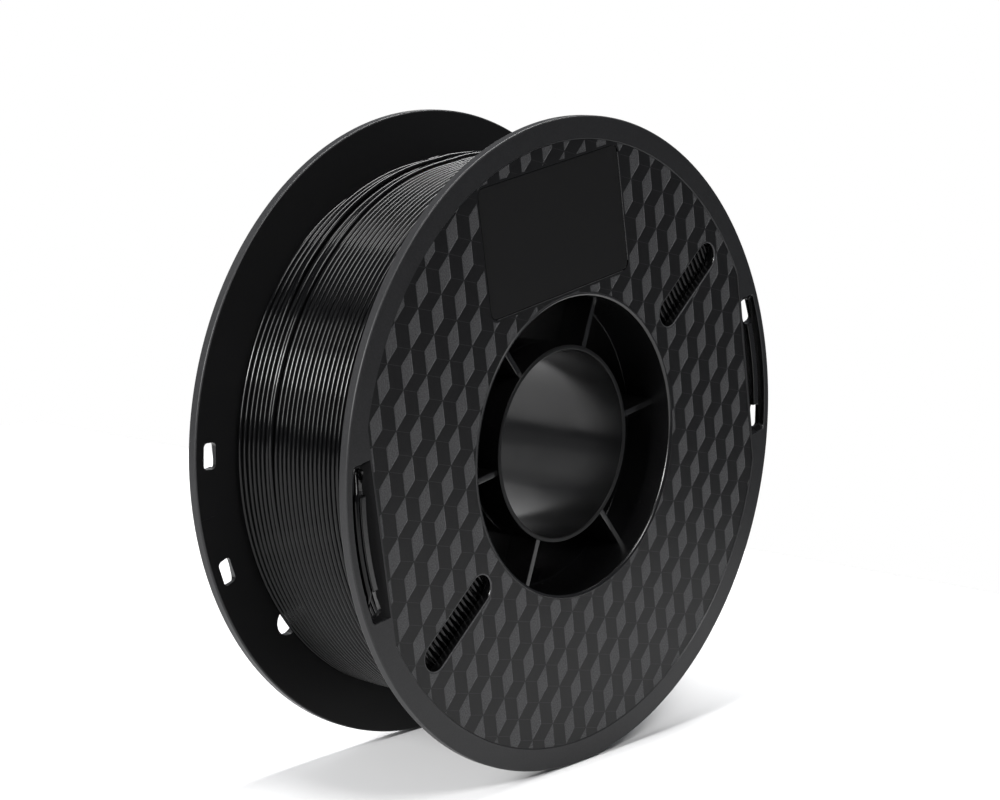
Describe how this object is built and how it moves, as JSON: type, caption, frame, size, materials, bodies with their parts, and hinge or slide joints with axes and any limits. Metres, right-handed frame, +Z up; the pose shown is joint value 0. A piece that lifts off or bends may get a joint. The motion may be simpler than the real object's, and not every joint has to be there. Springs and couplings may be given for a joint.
{
  "type": "filament spool",
  "caption": "Plastic spool of black 3-D printing filament: two flanges with raised cube pattern, windows and filament clips on a webbed hub with a smooth bore.",
  "frame": {"origin": "centre of the spool, on the spin axis halfway between the two flange faces", "axes": "+Y along the spin axis from the front flange to the rear flange, +Z up as the spool stands on its rims, +X to the right seen from the front"},
  "size_m": [0.2, 0.065, 0.2],
  "materials": {
    "moulded_plastic": "satin black, finely grained on the raised faces of the pattern",
    "hub_plastic": "smooth black with a polished bore",
    "filament": "glossy extruded black",
    "label": "flat matt black, blank"
  },
  "bodies": {
    "root": {"front_flange": "moulded_plastic", "rear_flange": "moulded_plastic", "hub_core": "hub_plastic", "filament_winding": "filament", "filament_tail": "filament", "front_label": "label"}
  },
  "joints": []
}
